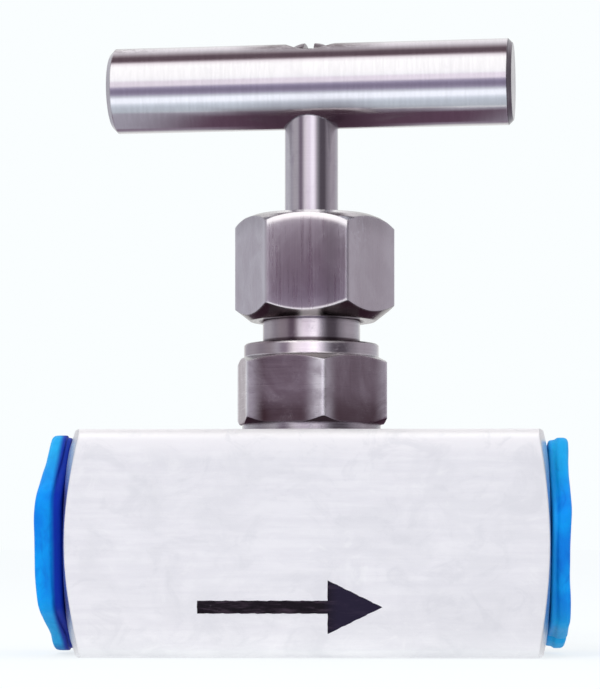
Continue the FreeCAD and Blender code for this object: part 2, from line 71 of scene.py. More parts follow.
# ------------------------------------------------------------- node helpers
class Graph:
    def __init__(self, tree):
        self.t = tree
        tree.nodes.clear()

    def n(self, kind, **kw):
        node = self.t.nodes.new(kind)
        for k, v in kw.items():
            setattr(node, k, v)
        return node

    def put(self, socket, value):
        if isinstance(value, bpy.types.NodeSocket):
            self.t.links.new(value, socket)
        elif isinstance(value, (tuple, list)) and len(value) == 3 and socket.type == "RGBA":
            socket.default_value = (*value, 1.0)
        else:
            socket.default_value = value

    def math(self, op, a, b=None, c=None, clamp=False):
        m = self.n("ShaderNodeMath", operation=op, use_clamp=clamp)
        self.put(m.inputs[0], a)
        if b is not None:
            self.put(m.inputs[1], b)
        if c is not None:
            self.put(m.inputs[2], c)
        return m.outputs[0]

    def vmath(self, op, a, b=None, scale=None):
        m = self.n("ShaderNodeVectorMath", operation=op)
        self.put(m.inputs[0], a)
        if b is not None:
            self.put(m.inputs[1], b)
        if scale is not None:
            self.put(m.inputs["Scale"], scale)
        return m.outputs["Value"] if op in ("LENGTH", "DOT_PRODUCT", "DISTANCE") else m.outputs[0]

    def smooth(self, v, lo, hi, a=0.0, b=1.0):
        m = self.n("ShaderNodeMapRange", interpolation_type="SMOOTHSTEP")
        self.put(m.inputs[0], v)
        for i, x in enumerate((lo, hi, a, b)):
            self.put(m.inputs[i + 1], x)
        return m.outputs[0]

    def remap(self, v, lo, hi, a=0.0, b=1.0):
        m = self.n("ShaderNodeMapRange", clamp=True)
        self.put(m.inputs[0], v)
        for i, x in enumerate((lo, hi, a, b)):
            self.put(m.inputs[i + 1], x)
        return m.outputs[0]

    def mix(self, fac, a, b, blend="MIX"):
        m = self.n("ShaderNodeMix", data_type="RGBA", blend_type=blend)
        self.put(m.inputs[0], fac)
        self.put(m.inputs[6], a)
        self.put(m.inputs[7], b)
        return m.outputs[2]

    def vmix(self, fac, a, b):
        m = self.n("ShaderNodeMix", data_type="VECTOR")
        self.put(m.inputs[0], fac)
        self.put(m.inputs[4], a)
        self.put(m.inputs[5], b)
        return m.outputs[1]

    def fmix(self, fac, a, b):
        m = self.n("ShaderNodeMix", data_type="FLOAT")
        self.put(m.inputs[0], fac)
        self.put(m.inputs[2], a)
        self.put(m.inputs[3], b)
        return m.outputs[0]

    def xyz(self, v):
        s = self.n("ShaderNodeSeparateXYZ")
        self.put(s.inputs[0], v)
        return s.outputs[0], s.outputs[1], s.outputs[2]

    def vec(self, x, y, z):
        s = self.n("ShaderNodeCombineXYZ")
        for i, v in enumerate((x, y, z)):
            self.put(s.inputs[i], v)
        return s.outputs[0]

    def scaled(self, v, sx, sy, sz, loc=(0, 0, 0)):
        m = self.n("ShaderNodeMapping")
        self.put(m.inputs[0], v)
        m.inputs["Scale"].default_value = (sx, sy, sz)
        m.inputs["Location"].default_value = loc
        return m.outputs[0]

    def noise(self, v, scale=1.0, detail=4.0, rough=0.55, warp=0.0, dims="3D"):
        t = self.n("ShaderNodeTexNoise", noise_dimensions=dims)
        if dims == "1D":
            self.put(t.inputs["W"], v)
        else:
            self.put(t.inputs["Vector"], v)
        t.inputs["Scale"].default_value = scale
        t.inputs["Detail"].default_value = detail
        t.inputs["Roughness"].default_value = rough
        t.inputs["Distortion"].default_value = warp
        return t.outputs["Fac"] if "Fac" in t.outputs else t.outputs[0]

    def voronoi(self, v, scale=1.0, feature="F1"):
        t = self.n("ShaderNodeTexVoronoi", feature=feature)
        self.put(t.inputs["Vector"], v)
        t.inputs["Scale"].default_value = scale
        return t.outputs["Distance"]

    def ramp(self, fac, stops, mode="LINEAR"):
        r = self.n("ShaderNodeValToRGB")
        self.put(r.inputs[0], fac)
        r.color_ramp.interpolation = mode
        e = r.color_ramp.elements
        while len(e) > 1:
            e.remove(e[-1])
        first = True
        for pos, col in stops:
            if not isinstance(col, (tuple, list)):
                col = (col, col, col)
            if first:
                e[0].position = pos
                e[0].color = (*col[:3], 1)
                first = False
            else:
                k = e.new(pos)
                k.color = (*col[:3], 1)
        return r.outputs[0]

    def bump(self, height, dist, strength=1.0, normal=None):
        b = self.n("ShaderNodeBump")
        b.inputs["Strength"].default_value = strength
        b.inputs["Distance"].default_value = dist
        self.put(b.inputs["Height"], height)
        if normal is not None:
            self.put(b.inputs["Normal"], normal)
        return b.outputs[0]

    def object_dir(self, v):
        t = self.n("ShaderNodeVectorTransform", vector_type="VECTOR",
                   convert_from="OBJECT", convert_to="WORLD")
        self.put(t.inputs[0], v)
        return t.outputs[0]


class Mat(Graph):
    """A Principled material with the point (mm) and normal in object space at hand."""

    def __init__(self, name):
        self.m = bpy.data.materials.new(name)
        self.m.use_nodes = True
        super().__init__(self.m.node_tree)
        self.out = self.n("ShaderNodeOutputMaterial")
        self.b = self.n("ShaderNodeBsdfPrincipled")
        self.t.links.new(self.b.outputs[0], self.out.inputs[0])
        tc = self.n("ShaderNodeTexCoord")
        self.p = self.scaled(tc.outputs["Object"], 1000, 1000, 1000)
        self.nrm = tc.outputs["Normal"]
        self.x, self.y, self.z = self.xyz(self.p)
        self.nx, self.ny, self.nz = self.xyz(self.nrm)

    def set(self, **kw):
        names = {"base": "Base Color", "metal": "Metallic", "rough": "Roughness",
                 "normal": "Normal", "aniso": "Anisotropic", "tangent": "Tangent",
                 "ior": "IOR", "coat": "Coat Weight", "coat_rough": "Coat Roughness",
                 "sss": "Subsurface Weight", "sss_scale": "Subsurface Scale",
                 "sss_radius": "Subsurface Radius", "spec": "Specular IOR Level",
                 "tint": "Specular Tint", "sheen": "Sheen Weight"}
        for k, v in kw.items():
            self.put(self.b.inputs[names[k]], v)
        return self

    def radius_z(self):
        return self.math("SQRT", self.math("ADD", self.math("MULTIPLY", self.x, self.x),
                                           self.math("MULTIPLY", self.y, self.y)))

    def edge(self, size_mm, lo=0.02, hi=0.22):
        """0 on flats, 1 on sharp outer and inner edges."""
        bev = self.n("ShaderNodeBevel", samples=4)
        bev.inputs["Radius"].default_value = size_mm * MM
        geo = self.n("ShaderNodeNewGeometry")
        d = self.vmath("DOT_PRODUCT", bev.outputs[0], geo.outputs["Normal"])
        return self.smooth(self.math("SUBTRACT", 1.0, d), lo, hi), bev.outputs[0]

    def crevice(self, dist_mm, lo=0.25, hi=0.85):
        """1 deep in corners and gaps, 0 in the open."""
        ao = self.n("ShaderNodeAmbientOcclusion", samples=6)
        ao.inputs["Distance"].default_value = dist_mm * MM
        return self.smooth(ao.outputs["AO"], lo, hi, 1.0, 0.0)

    def circ_z(self):
        """Unit vector round the Z axis."""
        return self.vmath("NORMALIZE", self.vec(self.math("MULTIPLY", self.y, -1.0), self.x, 0.0))


def give(obj, mat):
    obj.data.materials.clear()
    obj.data.materials.append(mat)


# ------------------------------------------------------------------ metals
def body_material():
    m = Mat("bead_blasted_body")
    grain = m.noise(m.p, 5.5, 3, 0.6)
    fine = m.noise(m.p, 14.0, 2, 0.5)
    streak = m.noise(m.scaled(m.p, 0.07, 0.9, 0.9), 1.0, 5, 0.65, 0.3)
    blotch = m.noise(m.scaled(m.p, 0.11, 0.13, 0.13), 1.0, 5, 0.6, 0.8)
    base = m.mix(m.smooth(streak, 0.34, 0.66), (0.862, 0.870, 0.892), (0.912, 0.922, 0.936))
    base = m.mix(m.smooth(blotch, 0.40, 0.66, 0.0, 0.65), base, (0.82, 0.833, 0.853))
    base = m.mix(m.smooth(blotch, 0.20, 0.42, 0.55, 0.0), base, (0.95, 0.955, 0.97))
    base = m.mix(m.smooth(grain, 0.56, 0.82, 0.0, 0.30), base, (0.72, 0.73, 0.77))
    # small handling marks, rubbed along the bar
    rub_marks_and_sheen = m.noise(m.scaled(m.p, 0.16, 0.55, 0.55, (3.1, 1.7, 4.2)), 1.0, 6, 0.7, 0.5)
    pits = m.smooth(rub_marks_and_sheen, 0.69, 0.80)
    base = m.mix(m.math("MULTIPLY", pits, 0.45), base, (0.56, 0.56, 0.60))
    # painted highlight: the edges are lighter
    edge, soft = m.edge(0.40)
    base = m.mix(m.math("MULTIPLY", edge, 0.9), base, (1.0, 1.0, 1.0))
    # painted light: the sides are lighter towards their upper edge
    top = m.smooth(m.math("SUBTRACT", 2000 * AXIS_Z, m.z), 0.8, 5.0, 0.9, 0.0)
    base = m.mix(top, base, (1.0, 1.0, 1.0))
    # and clouded towards the lower right
    low = m.math("MULTIPLY", m.smooth(m.x, 8.0, 24.0), m.smooth(m.z, 16.0, 8.0, 0.0, 1.0))
    cloud = m.noise(m.scaled(m.p, 0.16, 0.2, 0.2, (5.0, 2.0, 7.0)), 1.0, 6, 0.66, 1.0)
    low = m.math("ADD", m.math("MULTIPLY", low, 0.30), m.smooth(cloud, 0.50, 0.66, 0.0, 0.38))
    base = m.mix(low, base, (0.755, 0.77, 0.795))
    base = m.mix(m.smooth(cloud, 0.30, 0.44, 0.45, 0.0), base, (0.955, 0.97, 0.97))
    # turned surfaces: end faces and bores
    dz = m.math("SUBTRACT", m.z, AXIS_Z * 1000)
    r = m.math("SQRT", m.math("ADD", m.math("MULTIPLY", m.y, m.y), m.math("MULTIPLY", dz, dz)))
    ax = m.math("ABSOLUTE", m.nx)
    end = m.smooth(ax, 0.75, 0.92)
    bore = m.math("MULTIPLY", m.smooth(r, 12.0, 12.6, 1.0, 0.0),
                  m.smooth(m.math("ABSOLUTE", m.x), BODY_X * 1000 - 25, BODY_X * 1000 - 21))
    turned = m.math("MAXIMUM", end, m.math("MULTIPLY", bore, 0.9))
    rings = m.noise(m.math("MULTIPLY", r, 5.0), 1.0, 2, 0.6, dims="1D")
    base = m.mix(m.math("MULTIPLY", turned, m.smooth(rings, 0.35, 0.7)), base, (0.66, 0.665, 0.70))
    rough = m.fmix(turned, m.remap(fine, 0.3, 0.75, 0.50, 0.64), m.remap(rings, 0.3, 0.7, 0.24, 0.36))
    h = m.math("ADD", m.math("MULTIPLY", grain, m.math("SUBTRACT", 1.0, turned)),
               m.math("MULTIPLY", rings, m.math("MULTIPLY", turned, 0.7)))
    nrm = m.bump(h, 0.010 * MM, 1.0, soft)
    nrm = m.bump(m.math("SUBTRACT", 1.0, pits), 0.006 * MM, 1.0, nrm)
    m.set(base=base, metal=m.fmix(turned, 0.55, 0.95), rough=rough, normal=nrm, spec=0.3)
    return m.m


def turned_z_material(name, colour, rough=0.13, groove=5.0, depth=0.0012, wave=0.004,
                      aniso=0.45, tint=None):
    """Steel turned about the Z axis: fine rings, slight waviness, stains."""
    m = Mat(name)
    r = m.radius_z()
    along = m.fmix(m.smooth(m.math("ABSOLUTE", m.nz), 0.6, 0.9), m.z, r)
    rings = m.noise(m.math("MULTIPLY", along, groove), 1.0, 3, 0.65, dims="1D")
    slow = m.noise(m.scaled(m.p, 0.10, 0.10, 0.16), 1.0, 3, 0.5, 0.4)
    stain = m.noise(m.scaled(m.p, 0.35, 0.35, 0.22), 1.0, 5, 0.6, 0.8)
    dark = tint or [c * 0.74 for c in colour]
    base = m.mix(m.smooth(rings, 0.30, 0.72), tuple(c * 0.93 for c in colour), tuple(colour))
    base = m.mix(m.smooth(stain, 0.50, 0.74, 0.0, 0.55), base, tuple(dark))
    # painted highlight: the edges are lighter
    edge, soft = m.edge(0.22)
    base = m.mix(m.math("MULTIPLY", edge, 0.45), base, tuple(min(1, c * 1.25) for c in colour))
    rr = m.math("ADD", m.remap(stain, 0.3, 0.75, rough * 0.8, rough * 1.5),
                m.remap(rings, 0.3, 0.7, -0.012, 0.02))
    nrm = m.bump(slow, wave * MM, 1.0, soft)
    nrm = m.bump(rings, depth * MM, 1.0, nrm)
    circ = m.object_dir(m.circ_z())
    geo = m.n("ShaderNodeNewGeometry")
    tan = m.vmath("CROSS_PRODUCT", geo.outputs["Normal"], circ)
    m.set(base=base, metal=1.0, rough=rr, normal=nrm, aniso=aniso, tangent=tan)
    return m


def hex_material(name, z0, z1, flat, flat2, crown, brush="vertical", rough=0.30, neck=False):
    """Hexagon with brushed flats between z0 and z1 (mm) and turned crowns, collars and neck."""
    m = Mat(name)
    r = m.radius_z()
    an = m.math("ABSOLUTE", m.nz)
    inz = m.math("MULTIPLY", m.smooth(m.z, z0 - 0.05, z0 + 0.05), m.smooth(m.z, z1 - 0.05, z1 + 0.05, 1.0, 0.0))
    flatm = m.math("MULTIPLY", m.smooth(an, 0.12, 0.25, 1.0, 0.0), inz)
    if brush == "vertical":
        lines = m.noise(m.scaled(m.p, 3.2, 3.2, 0.07), 1.0, 5, 0.7)
        wide = m.noise(m.scaled(m.p, 0.8, 0.8, 0.05), 1.0, 3, 0.6)
    else:
        lines = m.noise(m.scaled(m.p, 0.10, 0.10, 4.0), 1.0, 5, 0.7)
        wide = m.noise(m.scaled(m.p, 0.10, 0.10, 0.9), 1.0, 3, 0.6)
    cloud = m.noise(m.scaled(m.p, 0.20, 0.20, 0.14), 1.0, 5, 0.6, 1.2)
    rings = m.noise(m.math("MULTIPLY", m.fmix(m.smooth(an, 0.3, 0.6), m.z, r), 5.0), 1.0, 3, 0.6, dims="1D")
    base = m.mix(m.smooth(cloud, 0.34, 0.68), tuple(flat), tuple(flat2))
    base = m.mix(m.smooth(lines, 0.42, 0.78, 0.0, 0.50), base, tuple(min(1, c * 1.35) for c in flat))
    base = m.mix(m.smooth(lines, 0.18, 0.42, 0.30, 0.0), base, tuple(c * 0.74 for c in flat))
    base_t = m.mix(m.smooth(rings, 0.3, 0.7), tuple(c * 0.9 for c in crown), tuple(crown))
    base_t = m.mix(m.smooth(cloud, 0.52, 0.75, 0.0, 0.4), base_t, tuple(c * 0.72 for c in crown))
    # painted light: the crowns get a painted highlight in front on the nut and painted shade in front on the bonnet,
    # and painted shade towards both sides; the undersides get painted shade
    sides = m.smooth(m.math("ABSOLUTE", m.x), 3.5, 8.5)
    chamf = m.math("MULTIPLY", m.smooth(an, 0.25, 0.45), m.smooth(r, 8.4, 9.2))
    front = m.math("MULTIPLY", m.smooth(m.math("ABSOLUTE", m.x), 2.5, 6.0, 1.0, 0.0), chamf)
    base_t = m.mix(m.math("MULTIPLY", front, 0.9), base_t, (0.05, 0.034, 0.038) if neck else (1.0, 0.985, 0.99))
    base_t = m.mix(m.math("MULTIPLY", m.math("MULTIPLY", sides, chamf), 0.86), base_t, tuple(c * 0.33 for c in crown))
    under = m.math("MULTIPLY", m.smooth(m.nz, -0.45, -0.25, 1.0, 0.0), m.smooth(m.z, z0 + 3.0, z0 + 3.6, 1.0, 0.0))
    base_t = m.mix(m.math("MULTIPLY", under, 0.92), base_t, (0.075, 0.045, 0.045) if neck else (0.12, 0.085, 0.09))
    base = m.mix(flatm, base_t, base)
    bright = None
    if not neck:
        # painted light: flats turned to the right are lighter, and the front flat gets painted shade towards its
        # right edge
        ahead = m.math("MULTIPLY", m.smooth(m.ny, -0.97, -0.90, 1.0, 0.0), m.smooth(m.x, 6.0, 6.4, 1.0, 0.0))
        base = m.mix(m.math("MULTIPLY", flatm, m.smooth(m.nx, 0.5, 0.75, 0.0, 0.40)), base, (0.76, 0.745, 0.765))
        shade = m.math("MULTIPLY", flatm, m.math("MULTIPLY", m.smooth(m.x, 0.5, 4.6), ahead))
        base = m.mix(m.math("MULTIPLY", shade, 0.60), base, tuple(c * 0.38 for c in flat))
        # painted highlights: the front flat is lighter along both crowns
        q = m.math("SUBTRACT", r, 9.2)
        fall = m.math("MULTIPLY", q, m.math("ADD", 0.2527, m.math("MULTIPLY", q, 0.1227)))
        down = m.math("SUBTRACT", m.math("SUBTRACT", AXIS_Z * 1000 + 48.9, fall), m.z)
        up = m.math("SUBTRACT", m.z, m.math("ADD", AXIS_Z * 1000 + 33.3, m.math("MULTIPLY", m.math("SUBTRACT", r, 9.4), 0.78)))
        painted_crown_highlight = m.math("ADD", m.smooth(cloud, 0.30, 0.62, 0.0, 0.25), m.smooth(down, 0.25, 1.35, 1.0, 0.0), clamp=True)
        painted_crown_highlight = m.math("MULTIPLY", painted_crown_highlight, m.smooth(down, 0.50, 2.0, 1.0, 0.0))
        bright = m.math("MULTIPLY", m.math("MAXIMUM", painted_crown_highlight, m.smooth(up, 0.10, 0.40, 0.70, 0.0)), m.math("MULTIPLY", ahead, flatm))
        # painted highlight on the underside in front of the neck
        rub_marks_and_sheen = m.math("MULTIPLY", under, m.math("MULTIPLY", m.smooth(m.math("ABSOLUTE", m.x), 0.9, 2.3, 0.55, 0.0), m.smooth(m.y, -8.0, -7.0, 1.0, 0.0)))
        bright = m.math("MAXIMUM", bright, rub_marks_and_sheen)
        dull = m.math("MULTIPLY", m.math("MULTIPLY", m.math("SUBTRACT", 1.0, ahead), flatm), m.smooth(down, 0.4, 3.2, 0.30, 0.0))
        base = m.mix(dull, base, tuple(c * 0.45 for c in flat))
        base = m.mix(bright, base, (0.97, 0.91, 0.92))
        # knocks beside the upper right corner of the front flat
        nick = m.noise(m.scaled(m.p, 0.85, 0.85, 0.55, (2.0, 5.0, 1.0)), 1.0, 5, 0.7, 1.0)
        zone = m.math("MULTIPLY", m.smooth(m.x, 3.4, 5.2), m.smooth(m.x, 7.2, 9.4, 1.0, 0.0))
        zone = m.math("MULTIPLY", zone, m.math("MULTIPLY", flatm, m.smooth(m.z, AXIS_Z * 1000 + 40.5, AXIS_Z * 1000 + 45.0)))
        nick = m.math("MULTIPLY", zone, m.smooth(nick, 0.50, 0.62))
        base = m.mix(m.math("MULTIPLY", nick, 0.42), base, (0.88, 0.90, 0.94))
    else:
        # painted shade: the flats darken towards the body and beside the left corner
        painted_shade_low_left = m.math("ADD", m.smooth(m.z, z0 + 1.0, z0 + 5.0, 0.72, 0.0), m.smooth(m.x, -8.4, -5.0, 0.55, 0.0), clamp=True)
        base = m.mix(m.math("MULTIPLY", painted_shade_low_left, m.math("MULTIPLY", flatm, m.smooth(m.ny, -0.8, -0.6, 1.0, 0.0))), base, (0.11, 0.062, 0.070))
        # painted highlight: light band beside the corner that faces forwards
        bright = m.math("MULTIPLY", m.smooth(m.x, -1.4, 1.5), m.smooth(m.x, 2.1, 2.5, 1.0, 0.0))
        bright = m.math("MULTIPLY", m.math("MULTIPLY", bright, m.smooth(m.y, -10.2, -9.8, 1.0, 0.0)), flatm)
        bright = m.math("MULTIPLY", bright, m.smooth(cloud, 0.28, 0.60, 0.45, 0.80))
        base = m.mix(bright, base, (0.58, 0.56, 0.61))
    # painted highlight: the edges are lighter, except on the bonnet's dark front crown
    edge, soft = m.edge(0.45, 0.03, 0.30)
    keep = m.math("MULTIPLY", front, 0.9) if neck else 0.0
    base = m.mix(m.math("MULTIPLY", edge, m.math("SUBTRACT", 0.65, m.math("MULTIPLY", keep, 0.6))), base, (0.86, 0.85, 0.87))
    # painted highlight: light bands where the rounded upright edges run
    wear_and_sheen = m.math("MULTIPLY", m.smooth(r, 10.95, 11.9), m.smooth(an, 0.15, 0.3, 1.0, 0.0))
    wear_and_sheen = m.math("MULTIPLY", wear_and_sheen, m.smooth(cloud, 0.25, 0.60, 0.45, 1.0))
    base = m.mix(m.math("MULTIPLY", wear_and_sheen, 0.85 if neck else 0.60), base, (0.95, 0.94, 0.97) if neck else (0.82, 0.81, 0.84))
    # painted shade in corners and gaps
    painted_crevice_shade = m.crevice(3.5, 0.20, 0.75)
    base = m.mix(m.math("MULTIPLY", painted_crevice_shade, 0.85), base, (0.10, 0.075, 0.085))
    if neck:
        # painted light on the neck and collar: painted shade on the flanks, a painted highlight down the middle, and
        # a painted shadow line at the foot of the neck
        upper = m.smooth(m.z, z1 + 0.05, z1 + 0.15)
        thin = m.smooth(r, 7.5, 7.9, 1.0, 0.0)          # 1 on the neck, 0 on the collar
        side = m.math("ABSOLUTE", m.math("ADD", m.x, m.fmix(thin, 1.2, 0.15)))
        flank = m.math("MULTIPLY", upper, m.smooth(side, m.fmix(thin, 2.8, 1.3), m.fmix(thin, 5.0, 2.5)))
        deep = m.fmix(thin, 0.66, m.smooth(m.x, -6.6, -3.4, 0.42, 0.72))
        deep = m.math("MULTIPLY", deep, m.math("MULTIPLY", m.smooth(m.x, 0.0, 1.0, 1.0, 0.42), m.smooth(m.x, 2.9, 4.6, 1.0, m.fmix(thin, 0.75, 0.10))))
        base = m.mix(m.math("MULTIPLY", flank, deep), base, (0.27, 0.20, 0.225))
        mid = m.math("MULTIPLY", upper, m.smooth(side, m.fmix(thin, 1.6, 0.8), m.fmix(thin, 3.8, 1.9), 1.0, 0.0))
        base = m.mix(m.math("MULTIPLY", mid, m.fmix(thin, 0.9, 0.6)), base, (1.0, 0.955, 0.95))
        foot = m.math("MULTIPLY", thin, m.math("MULTIPLY", upper, m.smooth(m.z, AXIS_Z * 1000 + 30.25, AXIS_Z * 1000 + 30.6, 1.0, 0.0)))
        base = m.mix(m.math("MULTIPLY", foot, 0.9), base, (0.07, 0.045, 0.055))
    # small knocks and scratches
    scr = m.noise(m.scaled(m.p, 0.9, 0.9, 0.5), 1.0, 2, 0.5, 3.0)
    scr = m.smooth(m.math("ABSOLUTE", m.math("SUBTRACT", scr, 0.5)), 0.0, 0.012, 1.0, 0.0)
    scr = m.math("MULTIPLY", scr, m.smooth(cloud, 0.50, 0.62))
    base = m.mix(m.math("MULTIPLY", scr, 0.35), base, (0.80, 0.79, 0.81))
    rr = m.fmix(flatm, m.remap(rings, 0.3, 0.7, 0.13, 0.20), m.remap(lines, 0.3, 0.7, rough * 0.82, rough * 1.2))
    nrm = m.bump(wide, 0.004 * MM, 1.0, soft)
    h = m.fmix(flatm, m.math("MULTIPLY", rings, 0.5), lines)
    nrm = m.bump(h, 0.0035 * MM, 1.0, nrm)
    nrm = m.bump(m.math("SUBTRACT", 1.0, scr), 0.004 * MM, 1.0, nrm)
    geo = m.n("ShaderNodeNewGeometry")
    circ = m.object_dir(m.circ_z())
    tan_t = m.vmath("CROSS_PRODUCT", geo.outputs["Normal"], circ)
    if brush == "vertical":
        tan_f = m.vmath("CROSS_PRODUCT", geo.outputs["Normal"], m.object_dir((0, 0, 1)))
    else:
        tan_f = m.object_dir((0, 0, 1))
    tan = m.vmix(flatm, tan_t, tan_f)
    m.set(base=base, metal=m.fmix(bright, 1.0, 0.55 if neck else 0.10), rough=rr, normal=nrm, aniso=0.35, tangent=tan)
    return m.m


def bar_material():
    """Bright drawn bar, turned: fine marks round it, slightly wavy."""
    m = Mat("turned_bar")
    c, s = math.cos(YAW), math.sin(YAW)
    u = m.math("ADD", m.math("MULTIPLY", m.x, c), m.math("MULTIPLY", m.y, s))
    rings = m.noise(m.math("MULTIPLY", u, 4.0), 1.0, 3, 0.7, dims="1D")
    marks = m.noise(m.scaled(m.p, 2.2, 0.25, 0.25), 1.0, 4, 0.65)
    slow = m.noise(m.scaled(m.p, 0.075, 0.05, 0.05), 1.0, 3, 0.5, 0.2)
    stain = m.noise(m.scaled(m.p, 0.12, 0.22, 0.22), 1.0, 5, 0.6, 0.8)
    col = (0.735, 0.725, 0.74)
    base = m.mix(m.smooth(marks, 0.32, 0.72), tuple(k * 0.955 for k in col), tuple(k * 1.03 for k in col))
    base = m.mix(m.smooth(rings, 0.58, 0.82, 0.0, 0.25), base, (0.64, 0.62, 0.66))
    base = m.mix(m.smooth(stain, 0.54, 0.78, 0.0, 0.30), base, (0.62, 0.60, 0.64))
    # painted highlight: the edges are lighter
    edge, soft = m.edge(0.25)
    base = m.mix(m.math("MULTIPLY", edge, 0.3), base, (0.84, 0.84, 0.86))
    # spot face and screw hole are darker
    hole = m.math("MULTIPLY", m.smooth(m.z, AXIS_Z * 1000 + 68.5, AXIS_Z * 1000 + 70.5),
                  m.smooth(m.radius_z(), 4.0, 4.08, 1.0, 0.0))
    base = m.mix(m.math("MULTIPLY", hole, 0.55), base, (0.33, 0.32, 0.34))
    # painted shade under the bar at the joint with the stem, and darker patches on the top round the spot face
    au = m.math("ABSOLUTE", u)
    joint = m.math("MULTIPLY", m.smooth(au, 4.0, 12.5, 1.0, 0.0), m.smooth(m.nz, -0.75, -0.30, 1.0, 0.0))
    base = m.mix(m.math("MULTIPLY", joint, m.smooth(u, -1.0, 3.0, 0.40, 0.62)), base, (0.19, 0.14, 0.165))
    patch_noise = m.noise(m.scaled(m.p, 0.55, 0.9, 0.9, (4.0, 1.0, 2.0)), 1.0, 5, 0.7, 0.8)
    rim = m.math("MULTIPLY", m.smooth(au, 4.5, 13.0, 1.0, 0.0), m.smooth(m.nz, 0.68, 0.88))
    rim = m.math("MULTIPLY", rim, m.smooth(patch_noise, 0.36, 0.58, 0.60, 1.0))
    base = m.mix(m.math("MULTIPLY", rim, 0.97), base, (0.10, 0.068, 0.076))
    far = m.math("MULTIPLY", m.smooth(u, -27.0, -21.0, 1.0, 0.0), m.smooth(m.nz, 0.74, 0.90))
    far = m.math("MULTIPLY", far, m.smooth(patch_noise, 0.44, 0.60))
    base = m.mix(m.math("MULTIPLY", far, 0.65), base, (0.18, 0.14, 0.16))
    nu = m.math("ABSOLUTE", m.math("ADD", m.math("MULTIPLY", m.nx, c), m.math("MULTIPLY", m.ny, s)))
    end = m.smooth(nu, 0.35, 0.62)
    v = m.math("SUBTRACT", m.math("MULTIPLY", m.y, c), m.math("MULTIPLY", m.x, s))
    w = m.math("SUBTRACT", m.z, AXIS_Z * 1000 + 68.5)
    re = m.math("SQRT", m.math("ADD", m.math("MULTIPLY", v, v), m.math("MULTIPLY", w, w)))
    facing = m.noise(m.math("MULTIPLY", re, 5.5), 1.0, 3, 0.6, dims="1D")
    # painted shade on the right end, darkest on its chamfer; the left end stays light
    base = m.mix(m.math("MULTIPLY", end, m.smooth(facing, 0.35, 0.7, 0.80, 0.95)), base, m.mix(m.math("MULTIPLY", m.smooth(u, -1.0, 1.0), m.smooth(nu, 0.82, 0.96, 1.0, 0.15)), (0.66, 0.65, 0.67), (0.17, 0.155, 0.175)))
    rr = m.math("ADD", m.remap(stain, 0.3, 0.75, 0.105, 0.175), m.remap(marks, 0.3, 0.7, -0.01, 0.02))
    rr = m.fmix(end, rr, 0.26)
    nrm = m.bump(slow, 0.020 * MM, 1.0, soft)
    nrm = m.bump(marks, 0.0014 * MM, 1.0, nrm)
    nrm = m.bump(m.fmix(end, rings, facing), 0.0016 * MM, 1.0, nrm)
    m.set(base=base, metal=1.0, rough=rr, normal=nrm, aniso=0.5,
          tangent=m.object_dir((c, s, 0.0)))
    return m.m


def plain_steel(name, colour, rough):
    return turned_z_material(name, colour, rough, 6.0, 0.0015, 0.003, 0.3).m


def soft_material(name, colour, colour2, rough, metal=0.0, grain=0.004, sss=0.0):
    m = Mat(name)
    r = m.radius_z()
    rings = m.noise(m.math("MULTIPLY", m.math("ADD", r, m.z), 4.0), 1.0, 3, 0.6, dims="1D")
    cloud = m.noise(m.p, 0.7, 5, 0.6, 0.6)
    fine = m.noise(m.p, 9.0, 3, 0.6)
    base = m.mix(m.smooth(cloud, 0.35, 0.7), colour, colour2)
    base = m.mix(m.smooth(fine, 0.6, 0.85, 0.0, 0.3), base, tuple(c * 0.8 for c in colour))
    # painted highlight: the edges are lighter
    edge, soft = m.edge(0.15)
    base = m.mix(m.math("MULTIPLY", edge, 0.4), base, tuple(min(1.0, c * 1.12) for c in colour))
    nrm = m.bump(rings, grain * MM, 1.0, soft)
    nrm = m.bump(fine, grain * 0.6 * MM, 1.0, nrm)
    m.set(base=base, metal=metal, rough=m.remap(cloud, 0.3, 0.7, rough * 0.85, rough * 1.25), normal=nrm)
    if sss:
        m.set(sss=sss, sss_scale=0.0008)
    return m.m


